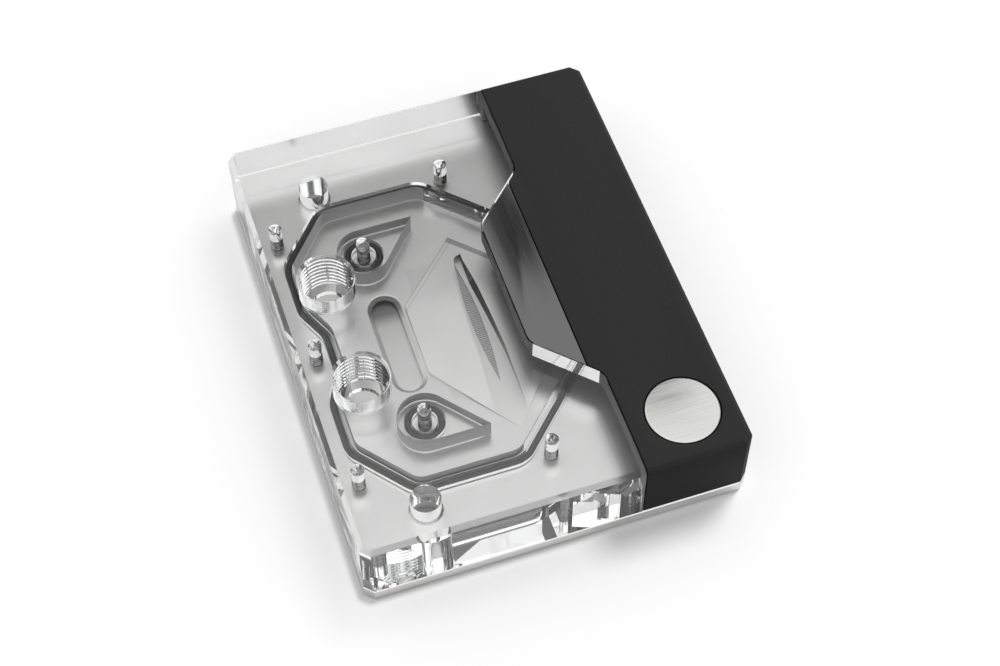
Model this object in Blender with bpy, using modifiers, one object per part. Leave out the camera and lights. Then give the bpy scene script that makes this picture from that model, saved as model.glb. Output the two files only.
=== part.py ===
"""Water block for a processor: clear acrylic top on a nickel-plated cold plate, with a dark side cover.

Frame: metres, +Z up, origin at the centre of the underside of the contact land.
+X runs from the ports towards the side cover, +Y along the block's long side.
"""
import math

import bmesh
import bpy

MM = 0.001

# Whole block
BODY_WIDTH = 89.6 * MM
BODY_LENGTH = 114.9 * MM
CORNER_CHAMFER = 2.0 * MM
EDGE_CHAMFER = 1.05 * MM
FIT_GAP = 0.3 * MM

# Cold plate
LAND_HEIGHT = 0.6 * MM
LAND_SIDE = 41.0 * MM
LAND_CORNER = 4.0 * MM
PLATE_THICKNESS = 2.8 * MM
PLATE_EDGE_BREAK = 0.3 * MM
FIN_AREA_X = 24.0 * MM
FIN_AREA_Y = 37.0 * MM
FIN_PITCH = 0.5 * MM
FIN_THICKNESS = 0.24 * MM
FIN_DEPTH = 1.9 * MM
OUTLET_CENTRE_X = -20.0 * MM
OUTLET_LENGTH = 28.4 * MM
OUTLET_WIDTH = 8.4 * MM
OUTLET_BEVEL_WIDTH = 1.1 * MM
OUTLET_BEVEL_DEPTH = 0.8 * MM
OUTLET_DEPTH = 1.9 * MM

# Acrylic top and the flow chamber under it
ACRYLIC_HEIGHT = 17.2 * MM
CHAMBER_HEIGHT = 4.7 * MM
CHAMBER_LAND = 0.75 * MM

# Sealing ring: its centre line is an octagon with a notch between the ports
RING_LEFT_ROOM = 5.8 * MM
RING_RIGHT = 26.5 * MM
RING_HALF_LENGTH = 40.45 * MM
RING_LEFT_CUT_X = 11.6 * MM
RING_LEFT_CUT_Y = 13.9 * MM
RING_RIGHT_CUT = 28.85 * MM
RING_NOTCH_DEPTH = 3.6 * MM
RING_NOTCH_FLAT = 5.2 * MM
RING_NOTCH_REACH = 12.8 * MM
RING_CORNER = 6.0 * MM
RING_CORD = 1.6 * MM
RING_SIDE_PLAY = 0.2 * MM

# Threaded ports
PORT_INSET = 12.6 * MM
PORT_SPACING = 28.4 * MM
PORT_RADIUS = 6.58 * MM
PORT_THREAD_DEPTH = 10.2 * MM
PORT_MOUTH_CHAMFER = 0.5 * MM
PORT_PASSAGE_RADIUS = 4.2 * MM

# Mounting pockets
MOUNT_SPACING_X = 54.0 * MM
MOUNT_SPACING_Y = 90.0 * MM
POCKET_RADIUS = 3.5 * MM
POCKET_DEPTH = 7.6 * MM
POCKET_PLATE_PLAY = 0.4 * MM

# Screws
SCREW_RADIUS = 1.3 * MM
SCREW_HEAD_RADIUS = 2.6 * MM
SCREW_HEAD_HEIGHT = 1.5 * MM
SCREW_SOCKET_RADIUS = 1.1 * MM
SCREW_SOCKET_DEPTH = 1.0 * MM
SCREW_REACH = 6.1 * MM
SCREW_HOLE_DEPTH = 10.2 * MM
COVER_SIDE_HOLE_DEPTH = 7.2 * MM
DRILL_TIP = 1.0 * MM
SCREW_SOCKET_SIDES = 6
EDGE_SCREW_INSET = 5.6 * MM
EDGE_SCREW_FROM_RING_END = 6.05 * MM
END_SCREW_FROM_RING_CORNER = 5.95 * MM
END_SCREW_PAST_RING = 0.15 * MM
COVER_SIDE_SCREW_FROM_RING = 4.5 * MM
COVER_SIDE_SCREW_Y = 19.0 * MM
WET_SCREW_X = -20.7 * MM
WET_SCREW_Y = 24.1 * MM

# Islands round the wet screws and their small sealing rings
ISLAND_RADIUS = 6.3 * MM
ISLAND_TIP_X = 13.6 * MM
WET_RING_RADIUS = 3.9 * MM
WET_RING_CORD = 1.5 * MM

# Jet plate and flow insert
INSERT_WIDTH = 31.0 * MM
INSERT_SIDE_HALF = 10.8 * MM
INSERT_HALF_LENGTH = 25.0 * MM
INSERT_THICKNESS = 1.0 * MM
FUNNEL_HALF_LENGTH = 20.5 * MM
FUNNEL_HALF_WIDTH = 4.1 * MM
JET_THICKNESS = 0.4 * MM
JET_MARGIN = 1.2 * MM
SLIT_HALF_LENGTH = 17.4 * MM
SLIT_HALF_WIDTH = 2.2 * MM

# Side cover
COVER_WIDTH = 25.2 * MM
STEP_LAP = 6.4 * MM
COVER_ROOF = 3.0 * MM
COVER_WALL = 2.5 * MM
NOSE_REACH = 13.2 * MM
NOSE_HALF = 17.2 * MM
NOSE_CORNER = 4.0 * MM
TRIM_WIDTH = 10.0 * MM
TRIM_THICKNESS = 1.4 * MM
DISC_SIDE_INSET = 12.4 * MM
DISC_END_INSET = 12.35 * MM
DISC_RADIUS = 8.4 * MM
DISC_THICKNESS = 1.4 * MM
DISC_PROUD = 0.25 * MM
DISC_CHAMFER = 0.35 * MM
BOSS_RADIUS = 3.2 * MM
COVER_SCREW_INSET = 7.2 * MM
COVER_SCREW_END_INSET = 20.45 * MM
COVER_SCREW_BITE = 3.9 * MM

# Lighting board inside the cover
BOARD_FROM_SEAM = 5.0 * MM
BOARD_WIDTH = 8.0 * MM
BOARD_END_ROOM = 6.95 * MM
BOARD_THICKNESS = 1.0 * MM
LED_COUNT = 6
LED_END_ROOM = 8.7 * MM
LED_LENGTH = 3.6 * MM
LED_WIDTH = 2.6 * MM
LED_HEIGHT = 1.6 * MM
BOARD_SCREW_PITCHES = 2
BOARD_SCREW_RADIUS = 0.9 * MM
BOARD_SCREW_HEAD_RADIUS = 1.7 * MM
BOARD_SCREW_HEAD_HEIGHT = 1.0 * MM
BOARD_SCREW_CROWN_RADIUS = 1.2 * MM
BOARD_SCREW_CROWN_HEIGHT = 0.4 * MM
BOARD_SCREW_REACH = 3.0 * MM
CONNECTOR_LENGTH = 5.0 * MM
CONNECTOR_WIDTH = 6.0 * MM
CONNECTOR_HEIGHT = 3.0 * MM
GROMMET_RADIUS = 1.5 * MM
GROMMET_LIP = 0.3 * MM
GROMMET_LIP_REACH = 0.6 * MM
GROMMET_BORE = 0.8 * MM

# Levels worked out from the heights
PLATE_LOW = LAND_HEIGHT
PLATE_TOP = PLATE_LOW + PLATE_THICKNESS
ACRYLIC_LOW = PLATE_TOP + FIT_GAP
BODY_TOP = ACRYLIC_LOW + ACRYLIC_HEIGHT
CHAMBER_TOP = ACRYLIC_LOW + CHAMBER_HEIGHT
ROOF_LOW = BODY_TOP - COVER_ROOF
STEP_TOP = ROOF_LOW - CONNECTOR_HEIGHT - BOARD_THICKNESS - 3 * FIT_GAP
CUT_MARGIN = 2.0 * MM

# Places worked out from the block's sides, the sealing ring and the cover's seam
HALF_WIDTH = BODY_WIDTH / 2
HALF_LENGTH = BODY_LENGTH / 2
RING_LEFT = HALF_WIDTH - RING_LEFT_ROOM
PORT_X = PORT_INSET - HALF_WIDTH
PORT_YS = (PORT_SPACING / 2, -PORT_SPACING / 2)
EDGE_SCREW_X = EDGE_SCREW_INSET - HALF_WIDTH
EDGE_SCREW_Y = RING_HALF_LENGTH - EDGE_SCREW_FROM_RING_END
END_SCREW_X = RING_RIGHT - RING_RIGHT_CUT + END_SCREW_FROM_RING_CORNER
END_SCREW_Y = RING_HALF_LENGTH + END_SCREW_PAST_RING
COVER_SIDE_SCREW_X = RING_RIGHT + COVER_SIDE_SCREW_FROM_RING
COVER_EDGE_X = HALF_WIDTH - COVER_WIDTH
NOSE_X = COVER_EDGE_X - NOSE_REACH
NOTCH_CORNER_Y = NOSE_HALF + NOSE_REACH
DISC_X = HALF_WIDTH - DISC_SIDE_INSET
DISC_Y = DISC_END_INSET - HALF_LENGTH
COVER_SCREW_X = HALF_WIDTH - COVER_SCREW_INSET
COVER_SCREW_Y = HALF_LENGTH - COVER_SCREW_END_INSET
BOARD_X = COVER_EDGE_X + BOARD_FROM_SEAM
BOARD_LENGTH = 2 * (HALF_LENGTH - COVER_WALL - BOARD_END_ROOM)
LED_SPACING = (BOARD_LENGTH - LED_LENGTH - 2 * LED_END_ROOM) / (LED_COUNT - 1)
BOARD_SCREW_Y = BOARD_SCREW_PITCHES * LED_SPACING

# Facets of round forms
ROUND_STEPS = 6
ROUND_SEGMENTS = 16
BUSH_SEGMENTS = 24
WIDE_SEGMENTS = 32
PORT_SEGMENTS = 48
DISC_SEGMENTS = 64
CORD_SIDES = 8
SLOT_END_STEPS = 12
ISLAND_STEPS = 20


def start_scene():
    """Empty the scene and make one collection for the parts and one for the cutters."""
    for obj in list(bpy.data.objects):
        bpy.data.objects.remove(obj, do_unlink=True)
    made = []
    for name in ("cpu_water_block", "cutters"):
        group = bpy.data.collections.new(name)
        bpy.context.scene.collection.children.link(group)
        made.append(group)
    return made


PARTS, CUTTERS = start_scene()


def make_material(name, color, metallic, roughness, transmission=0.0):
    """A Principled material for one kind of surface."""
    made = bpy.data.materials.new(name)
    made.use_nodes = True
    shader = made.node_tree.nodes["Principled BSDF"]
    shader.inputs["Base Color"].default_value = (*color, 1.0)
    shader.inputs["Metallic"].default_value = metallic
    shader.inputs["Roughness"].default_value = roughness
    shader.inputs["Transmission Weight"].default_value = transmission
    made.diffuse_color = (*color, 1.0 - 0.6 * transmission)
    return made


def paint(obj, material):
    """Give an object one material and smooth shading broken at its sharp edges."""
    obj.data.materials.clear()
    obj.data.materials.append(material)
    obj.data.shade_smooth()
    obj.data.set_sharp_from_angle(angle=math.radians(30))


def link_mesh(name, bm, cutter=False):
    """Turn a bmesh into an object, among the parts or among the cutters."""
    bmesh.ops.recalc_face_normals(bm, faces=bm.faces)
    mesh = bpy.data.meshes.new(name)
    bm.to_mesh(mesh)
    bm.free()
    obj = bpy.data.objects.new(name, mesh)
    file_object(obj, cutter)
    return obj


def file_object(obj, cutter):
    """Put an object in its collection; a cutter shows as wire and isn't rendered."""
    if cutter:
        CUTTERS.objects.link(obj)
        obj.hide_render = True
        obj.display_type = "WIRE"
    else:
        PARTS.objects.link(obj)


def turn(a, b, c):
    """Twice the signed area of a corner: positive where the outline turns left."""
    return (b[0] - a[0]) * (c[1] - b[1]) - (b[1] - a[1]) * (c[0] - b[0])


def round_corners(points, radius, steps=ROUND_STEPS):
    """Replace each corner of a closed outline by an arc; radius is one size or one for each corner."""
    count = len(points)
    radii = radius if isinstance(radius, (list, tuple)) else [radius] * count
    rounded = []
    for index, corner in enumerate(points):
        before = points[index - 1]
        after = points[(index + 1) % count]
        to_before = math.atan2(before[1] - corner[1], before[0] - corner[0])
        to_after = math.atan2(after[1] - corner[1], after[0] - corner[0])
        opening = (to_after - to_before) % (2 * math.pi)
        left_turn = turn(before, corner, after) > 0
        inner = 2 * math.pi - opening if left_turn else opening
        size = radii[index]
        if size <= 0:
            rounded.append(corner)
            continue
        middle = to_after + inner / 2 if left_turn else to_before + inner / 2
        reach = size / math.sin(inner / 2)
        centre = (corner[0] + reach * math.cos(middle), corner[1] + reach * math.sin(middle))
        swing = math.pi - inner
        first = middle + math.pi - swing / 2 if left_turn else middle + math.pi + swing / 2
        for step in range(steps + 1):
            share = swing * step / steps
            angle = first + share if left_turn else first - share
            rounded.append((centre[0] + size * math.cos(angle), centre[1] + size * math.sin(angle)))
    return rounded


def offset_outline(points, distance):
    """Move every side of a closed left-turning outline outwards by a distance."""
    count = len(points)
    moved = []
    for index, corner in enumerate(points):
        before = points[index - 1]
        after = points[(index + 1) % count]
        ax, ay = corner[0] - before[0], corner[1] - before[1]
        bx, by = after[0] - corner[0], after[1] - corner[1]
        a_len, b_len = math.hypot(ax, ay), math.hypot(bx, by)
        ax, ay, bx, by = ax / a_len, ay / a_len, bx / b_len, by / b_len
        scale = distance / (1 + ax * bx + ay * by)
        moved.append((corner[0] + (ay + by) * scale, corner[1] - (ax + bx) * scale))
    return moved


def circle(x, y, radius, segments=WIDE_SEGMENTS):
    """Points round a circle, turning left."""
    angles = [2 * math.pi * index / segments for index in range(segments)]
    return [(x + radius * math.cos(angle), y + radius * math.sin(angle)) for angle in angles]


def prism(name, outlines, low, high, cutter=False):
    """Extrude flat outlines between two heights; an outline inside another is a hole."""
    curve = bpy.data.curves.new(name + "_outline", "CURVE")
    curve.dimensions = "2D"
    curve.fill_mode = "BOTH"
    curve.extrude = (high - low) / 2
    for outline in outlines:
        spline = curve.splines.new("POLY")
        spline.points.add(len(outline) - 1)
        for point, (x, y) in zip(spline.points, outline):
            point.co = (x, y, 0.0, 1.0)
        spline.use_cyclic_u = True
    flat = bpy.data.objects.new(name + "_outline", curve)
    bpy.context.scene.collection.objects.link(flat)
    flat.location.z = (low + high) / 2
    return curve_to_mesh(name, flat, cutter)


def curve_to_mesh(name, flat, cutter=False):
    """Replace a curve object by a welded mesh object in the same place."""
    bpy.context.view_layer.update()
    graph = bpy.context.evaluated_depsgraph_get()
    mesh = bpy.data.meshes.new_from_object(flat.evaluated_get(graph))
    bm = bmesh.new()
    bm.from_mesh(mesh)
    bmesh.ops.remove_doubles(bm, verts=bm.verts, dist=0.000001)
    bmesh.ops.recalc_face_normals(bm, faces=bm.faces)
    bm.to_mesh(mesh)
    bm.free()
    obj = bpy.data.objects.new(name, mesh)
    obj.matrix_world = flat.matrix_world
    bpy.data.objects.remove(flat, do_unlink=True)
    file_object(obj, cutter)
    return obj


def box(name, low, high, cutter=False):
    """A plain box between two corners."""
    bm = bmesh.new()
    bmesh.ops.create_cube(bm, size=1.0)
    for vert in bm.verts:
        for axis in range(3):
            vert.co[axis] = low[axis] if vert.co[axis] < 0 else high[axis]
    return link_mesh(name, bm, cutter)


def turned(name, profile, at, cutter=False, segments=ROUND_SEGMENTS):
    """Turn a profile of (radius, height) points, listed from the top down, about a vertical axis."""
    bm = bmesh.new()
    closed = profile[0] == profile[-1]
    points = profile[:-1] if closed else profile
    verts = [bm.verts.new((radius, 0.0, height)) for radius, height in points]
    following = verts[1:] + verts[:1] if closed else verts[1:]
    for first, second in zip(verts, following):
        bm.edges.new((first, second))
    mesh = bpy.data.meshes.new(name)
    bm.to_mesh(mesh)
    bm.free()
    obj = bpy.data.objects.new(name, mesh)
    obj.location = (at[0], at[1], 0.0)
    file_object(obj, cutter)
    screw = obj.modifiers.new("turn", "SCREW")
    screw.steps = segments
    screw.render_steps = segments
    screw.use_merge_vertices = True
    screw.merge_threshold = 0.000001
    screw.use_smooth_shade = True
    return obj


def ring(name, outline, cord, height):
    """A round cord that follows a closed outline at one height."""
    curve = bpy.data.curves.new(name + "_path", "CURVE")
    curve.dimensions = "3D"
    curve.bevel_depth = cord / 2
    curve.bevel_resolution = (CORD_SIDES - 4) // 2
    spline = curve.splines.new("POLY")
    spline.points.add(len(outline) - 1)
    for point, (x, y) in zip(spline.points, outline):
        point.co = (x, y, height, 1.0)
    spline.use_cyclic_u = True
    path = bpy.data.objects.new(name + "_path", curve)
    bpy.context.scene.collection.objects.link(path)
    return curve_to_mesh(name, path)


def combine(target, tool, operation):
    """Join another solid to an object, cut it away or keep what they share."""
    modifier = target.modifiers.new(operation.lower() + "_" + tool.name, "BOOLEAN")
    modifier.operation = operation
    modifier.solver = "EXACT"
    modifier.object = tool


def cut(target, *tools):
    """Cut each tool away from an object."""
    for tool in tools:
        combine(target, tool, "DIFFERENCE")


def block_outline():
    """The block's plan: a rectangle with cut corners."""
    x, y, c = HALF_WIDTH, HALF_LENGTH, CORNER_CHAMFER
    right = [(x - c, -y), (x, c - y), (x, y - c), (x - c, y)]
    return right + [(-x, -y) for x, y in right]


def chamfered_block(name, low, high, chamfer, cutter=False):
    """The block's plan between two heights, with its upper rim chamfered."""
    bm = bmesh.new()
    base = bm.faces.new([bm.verts.new((x, y, low)) for x, y in block_outline()])
    lifted = bmesh.ops.extrude_face_region(bm, geom=[base])["geom"]
    top_verts = [item for item in lifted if isinstance(item, bmesh.types.BMVert)]
    for vert in top_verts:
        vert.co.z = high
    rim = [edge for edge in bm.edges if all(vert in top_verts for vert in edge.verts)]
    bmesh.ops.bevel(bm, geom=rim, offset=chamfer, offset_type="OFFSET", segments=1, affect="EDGES")
    return link_mesh(name, bm, cutter)


def cover_region(grow=0.0):
    """Plan of what the side cover takes: everything past the seam, with a nose towards the ports."""
    far = HALF_WIDTH + CUT_MARGIN
    long = HALF_LENGTH + CUT_MARGIN
    half = [(NOSE_X, NOSE_HALF), (COVER_EDGE_X, NOTCH_CORNER_Y), (COVER_EDGE_X, long), (far, long)]
    points = offset_outline(half[::-1] + [(x, -y) for x, y in half], grow)
    outer, inner = NOSE_CORNER + grow, NOSE_CORNER - grow
    return round_corners(points, [0, 0, inner, outer, outer, inner, 0, 0])


def ring_corners():
    """Corners of the main sealing ring's centre line, turning left, with 1 where it turns left."""
    notch_x = -RING_LEFT + RING_NOTCH_DEPTH
    half = [
        (RING_RIGHT, RING_HALF_LENGTH - RING_RIGHT_CUT),
        (RING_RIGHT - RING_RIGHT_CUT, RING_HALF_LENGTH),
        (-RING_LEFT + RING_LEFT_CUT_X, RING_HALF_LENGTH),
        (-RING_LEFT, RING_HALF_LENGTH - RING_LEFT_CUT_Y),
        (-RING_LEFT, RING_NOTCH_REACH),
        (notch_x, RING_NOTCH_FLAT),
    ]
    bends = [1, 1, 1, 1, 1, -1]
    lower = [(x, -y) for x, y in reversed(half)]
    return half + lower, bends + bends[::-1]


def ring_outline(grow=0.0):
    """The main ring's centre line moved outwards by a distance, with round corners."""
    points, bends = ring_corners()
    return round_corners(offset_outline(points, grow), [RING_CORNER + grow * bend for bend in bends])


def chamber_outline():
    """Wall of the flow chamber, inside the groove of the main ring."""
    return ring_outline(-(RING_CORD / 2 + RING_SIDE_PLAY + CHAMBER_LAND))


def island_outline(side):
    """Drop-shaped island round a wet screw; side is +1 at the rear and -1 at the front."""
    tip = (WET_SCREW_X + ISLAND_TIP_X, WET_SCREW_Y + ISLAND_RADIUS)
    reach = math.hypot(tip[0] - WET_SCREW_X, tip[1] - WET_SCREW_Y)
    tip_angle = math.atan2(tip[1] - WET_SCREW_Y, tip[0] - WET_SCREW_X)
    spread = math.acos(ISLAND_RADIUS / reach)
    first = tip_angle + spread
    last = tip_angle - spread + 2 * math.pi
    points = [tip]
    for step in range(ISLAND_STEPS + 1):
        angle = first + (last - first) * step / ISLAND_STEPS
        x = WET_SCREW_X + ISLAND_RADIUS * math.cos(angle)
        y = WET_SCREW_Y + ISLAND_RADIUS * math.sin(angle)
        points.append((x, y))
    if side < 0:
        points = [(x, -y) for x, y in reversed(points)]
    return points


def lens_outline(half_width, half_length, steps=16):
    """A slim pointed oval made of two arcs, long in y and centred on the axis."""
    radius = (half_length ** 2 + half_width ** 2) / (2 * half_width)
    swing = math.asin(half_length / radius)
    right = []
    for step in range(steps + 1):
        angle = -swing + 2 * swing * step / steps
        right.append((radius * math.cos(angle) - radius + half_width, radius * math.sin(angle)))
    return right + [(-x, -y) for x, y in right[1:-1]]


def hexagon_outline(grow=0.0):
    """Plan of the flow insert: a hexagon with points at the rear and the front."""
    half = INSERT_WIDTH / 2
    points = [
        (half, -INSERT_SIDE_HALF),
        (half, INSERT_SIDE_HALF),
        (0.0, INSERT_HALF_LENGTH),
        (-half, INSERT_SIDE_HALF),
        (-half, -INSERT_SIDE_HALF),
        (0.0, -INSERT_HALF_LENGTH),
    ]
    return offset_outline(points, grow)


def stadium_outline(width, length, x):
    """A slot with round ends, long in y."""
    half = length / 2 - width / 2
    points = []
    for centre_y, start in ((half, 0.0), (-half, math.pi)):
        for step in range(SLOT_END_STEPS + 1):
            angle = start + math.pi * step / SLOT_END_STEPS
            points.append((x + width / 2 * math.cos(angle), centre_y + width / 2 * math.sin(angle)))
    return points


def mount_places():
    """Centres of the four mounting pockets."""
    return [(sx * MOUNT_SPACING_X / 2, sy * MOUNT_SPACING_Y / 2) for sx in (-1, 1) for sy in (1, -1)]


def edge_screw_places():
    """Centres of the dry screws that show through the acrylic."""
    return [
        (EDGE_SCREW_X, EDGE_SCREW_Y),
        (EDGE_SCREW_X, 0.0),
        (EDGE_SCREW_X, -EDGE_SCREW_Y),
        (END_SCREW_X, END_SCREW_Y),
        (END_SCREW_X, -END_SCREW_Y),
    ]


def cover_side_screw_places():
    """Centres of the dry screws under the side cover."""
    return [(COVER_SIDE_SCREW_X, sy * COVER_SIDE_SCREW_Y) for sy in (1, -1)]


def cover_screw_places():
    """Centres of the screws that hold the side cover from below."""
    return [(COVER_SCREW_X, COVER_SCREW_Y), (COVER_SCREW_X, 0.0), (COVER_SCREW_X, -COVER_SCREW_Y)]


def wet_screw_places():
    """Centres of the screws inside the flow chamber, rear then front."""
    return [(WET_SCREW_X, WET_SCREW_Y), (WET_SCREW_X, -WET_SCREW_Y)]


def blind_hole(name, at, radius, depth):
    """Cutter for a drilled blind hole that starts under the acrylic."""
    top = ACRYLIC_LOW + depth
    low = ACRYLIC_LOW - CUT_MARGIN
    return turned(name, [(0.0, top + DRILL_TIP), (radius, top), (radius, low), (0.0, low)], at, True)


def through_cut(name, at, radius, low, high, segments=ROUND_SEGMENTS):
    """Cutter for a round hole between two heights."""
    return turned(name, [(0.0, high), (radius, high), (radius, low), (0.0, low)], at, True, segments)


def make_acrylic_top(material):
    """Clear top: block with ports, flow chamber, ring grooves, screw holes and mounting pockets."""
    body = chamfered_block("acrylic_top", ACRYLIC_LOW, BODY_TOP, EDGE_CHAMFER)
    region = cover_region(FIT_GAP)
    cut(body, prism("cut_cover_seat", [region], ACRYLIC_LOW - CUT_MARGIN, BODY_TOP + CUT_MARGIN, True))
    step_x = HALF_WIDTH - COVER_WALL - FIT_GAP
    step_y = HALF_LENGTH - COVER_WALL - FIT_GAP
    step = box("add_step", (NOSE_X - STEP_LAP, -step_y, ACRYLIC_LOW), (step_x, step_y, STEP_TOP), True)
    combine(body, step, "UNION")
    chamber = [chamber_outline(), island_outline(1), island_outline(-1)]
    cut(body, prism("cut_chamber", chamber, ACRYLIC_LOW - CUT_MARGIN, CHAMBER_TOP, True))
    half_groove = RING_CORD / 2 + RING_SIDE_PLAY
    groove = [ring_outline(half_groove), ring_outline(-half_groove)]
    groove_top = PLATE_TOP + RING_CORD + 2 * FIT_GAP
    cut(body, prism("cut_ring_groove", groove, ACRYLIC_LOW - CUT_MARGIN, groove_top, True))
    half_groove = WET_RING_CORD / 2 + RING_SIDE_PLAY
    top = PLATE_TOP + WET_RING_CORD + 2 * FIT_GAP
    for index, place in enumerate(wet_screw_places()):
        rims = [circle(*place, WET_RING_RADIUS + sign * half_groove) for sign in (1, -1)]
        cut(body, prism(f"cut_wet_groove_{index}", rims, ACRYLIC_LOW - CUT_MARGIN, top, True))
    for index, port_y in enumerate(PORT_YS):
        cut(body, port_cutter(f"cut_port_{index}", (PORT_X, port_y)))
    for index, place in enumerate(mount_places()):
        low, high = ACRYLIC_LOW - CUT_MARGIN, ACRYLIC_LOW + POCKET_DEPTH
        cut(body, through_cut(f"cut_pocket_{index}", place, POCKET_RADIUS, low, high, WIDE_SEGMENTS))
    hole = SCREW_RADIUS + FIT_GAP
    for index, place in enumerate(edge_screw_places() + wet_screw_places()):
        cut(body, blind_hole(f"cut_screw_{index}", place, hole, SCREW_HOLE_DEPTH))
    for index, place in enumerate(cover_side_screw_places()):
        cut(body, blind_hole(f"cut_hidden_screw_{index}", place, hole, COVER_SIDE_HOLE_DEPTH))
    for index, place in enumerate(cover_screw_places()):
        low, high = ACRYLIC_LOW - CUT_MARGIN, STEP_TOP + CUT_MARGIN
        cut(body, through_cut(f"cut_cover_screw_{index}", place, hole, low, high))
    for index, sign in enumerate((1, -1)):
        low, high = STEP_TOP - BOARD_SCREW_REACH, STEP_TOP + CUT_MARGIN
        place = (BOARD_X, sign * BOARD_SCREW_Y)
        radius = BOARD_SCREW_RADIUS + FIT_GAP
        cut(body, through_cut(f"cut_board_screw_{index}", place, radius, low, high))
    paint(body, material)
    return body


def port_cutter(name, at):
    """Cutter for one port: chamfered mouth, thread bore, drill shoulder and passage to the chamber."""
    shoulder = BODY_TOP - PORT_THREAD_DEPTH
    above = BODY_TOP + CUT_MARGIN
    profile = [
        (0.0, above),
        (PORT_RADIUS + PORT_MOUTH_CHAMFER + CUT_MARGIN, above),
        (PORT_RADIUS, BODY_TOP - PORT_MOUTH_CHAMFER),
        (PORT_RADIUS, shoulder),
        (PORT_PASSAGE_RADIUS, shoulder - DRILL_TIP),
        (PORT_PASSAGE_RADIUS, CHAMBER_TOP - CUT_MARGIN / 2),
        (0.0, CHAMBER_TOP - CUT_MARGIN / 2),
    ]
    return turned(name, profile, at, True, PORT_SEGMENTS)


def fin_comb():
    """Cutter that leaves the fins: a bar above the plate with a tooth for every channel."""
    channel = FIN_PITCH - FIN_THICKNESS
    count = int(FIN_AREA_Y / FIN_PITCH)
    start = -(count - 1) * FIN_PITCH / 2
    floor = PLATE_TOP - FIN_DEPTH
    top = PLATE_TOP + CUT_MARGIN
    points = []
    for index in range(count):
        middle = start + index * FIN_PITCH
        points += [
            (middle - channel / 2, PLATE_TOP + FIT_GAP),
            (middle - channel / 2, floor),
            (middle + channel / 2, floor),
            (middle + channel / 2, PLATE_TOP + FIT_GAP),
        ]
    points += [(points[-1][0], top), (points[0][0], top)]
    bm = bmesh.new()
    half = FIN_AREA_X / 2
    face = bm.faces.new([bm.verts.new((-half, y, z)) for y, z in points])
    lifted = bmesh.ops.extrude_face_region(bm, geom=[face])["geom"]
    for item in lifted:
        if isinstance(item, bmesh.types.BMVert):
            item.co.x = half
    bmesh.ops.triangulate(bm, faces=bm.faces)
    return link_mesh("cut_fin_channels", bm, True)


def loft(name, sections, cutter=False):
    """A solid through outlines with as many points each, given as (outline, height) from the bottom up."""
    bm = bmesh.new()
    rows = [[bm.verts.new((x, y, height)) for x, y in outline] for outline, height in sections]
    bm.faces.new(rows[0][::-1])
    bm.faces.new(rows[-1])
    for lower, upper in zip(rows, rows[1:]):
        for index in range(len(lower)):
            after = (index + 1) % len(lower)
            bm.faces.new((lower[index], lower[after], upper[after], upper[index]))
    return link_mesh(name, bm, cutter)


def make_cold_plate(material):
    """Nickel-plated base: fins under the jet slit, outlet slot, contact land and countersunk holes."""
    plate = chamfered_block("cold_plate", PLATE_LOW, PLATE_TOP, PLATE_EDGE_BREAK)
    side = LAND_SIDE / 2
    square = [(side, -side), (side, side), (-side, side), (-side, -side)]
    land_top = PLATE_LOW + PLATE_THICKNESS / 4
    land = prism("add_land", [round_corners(square, LAND_CORNER)], 0.0, land_top, True)
    combine(plate, land, "UNION")
    cut(plate, fin_comb())
    cut(plate, outlet_cutter())
    low, high = -CUT_MARGIN, PLATE_TOP + CUT_MARGIN
    for index, place in enumerate(mount_places()):
        radius = POCKET_RADIUS + POCKET_PLATE_PLAY
        cut(plate, through_cut(f"cut_mount_hole_{index}", place, radius, low, high, WIDE_SEGMENTS))
    for index, place in enumerate(all_plate_screw_places()):
        cut(plate, countersink(f"cut_countersink_{index}", place))
    paint(plate, material)
    return plate


def outlet_cutter():
    """Cutter for the outlet slot: straight walls below a sloped rim."""
    slot_width = OUTLET_WIDTH - 2 * OUTLET_BEVEL_WIDTH
    slot_length = OUTLET_LENGTH - 2 * OUTLET_BEVEL_WIDTH
    slot = stadium_outline(slot_width, slot_length, OUTLET_CENTRE_X)
    rise = OUTLET_BEVEL_DEPTH / 2
    grow = 2 * rise * OUTLET_BEVEL_WIDTH / OUTLET_BEVEL_DEPTH
    wide = stadium_outline(OUTLET_WIDTH + grow, OUTLET_LENGTH + grow, OUTLET_CENTRE_X)
    floor, bend = PLATE_TOP - OUTLET_DEPTH, PLATE_TOP - OUTLET_BEVEL_DEPTH
    return loft("cut_outlet", [(slot, floor), (slot, bend), (wide, PLATE_TOP + rise)], True)


def all_plate_screw_places():
    """Centres of every screw that comes up through the cold plate."""
    return edge_screw_places() + cover_side_screw_places() + wet_screw_places() + cover_screw_places()


def screw_profile(grow, reach, top=None):
    """Half section of a countersunk screw that starts at the plate's underside, from the top down."""
    shaft = SCREW_RADIUS + grow
    head = SCREW_HEAD_RADIUS + grow
    end = PLATE_TOP + reach if top is None else top
    return [
        (0.0, end),
        (shaft, end),
        (shaft, PLATE_LOW + SCREW_HEAD_HEIGHT + grow),
        (head, PLATE_LOW + SCREW_HEAD_HEIGHT + grow - (head - shaft)),
    ]


def countersink(name, at):
    """Cutter for a screw hole with its conical seat."""
    profile = screw_profile(FIT_GAP, CUT_MARGIN)
    head = SCREW_HEAD_RADIUS + FIT_GAP
    low = -CUT_MARGIN
    return turned(name, profile + [(head, low), (0.0, low)], at, True)


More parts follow.
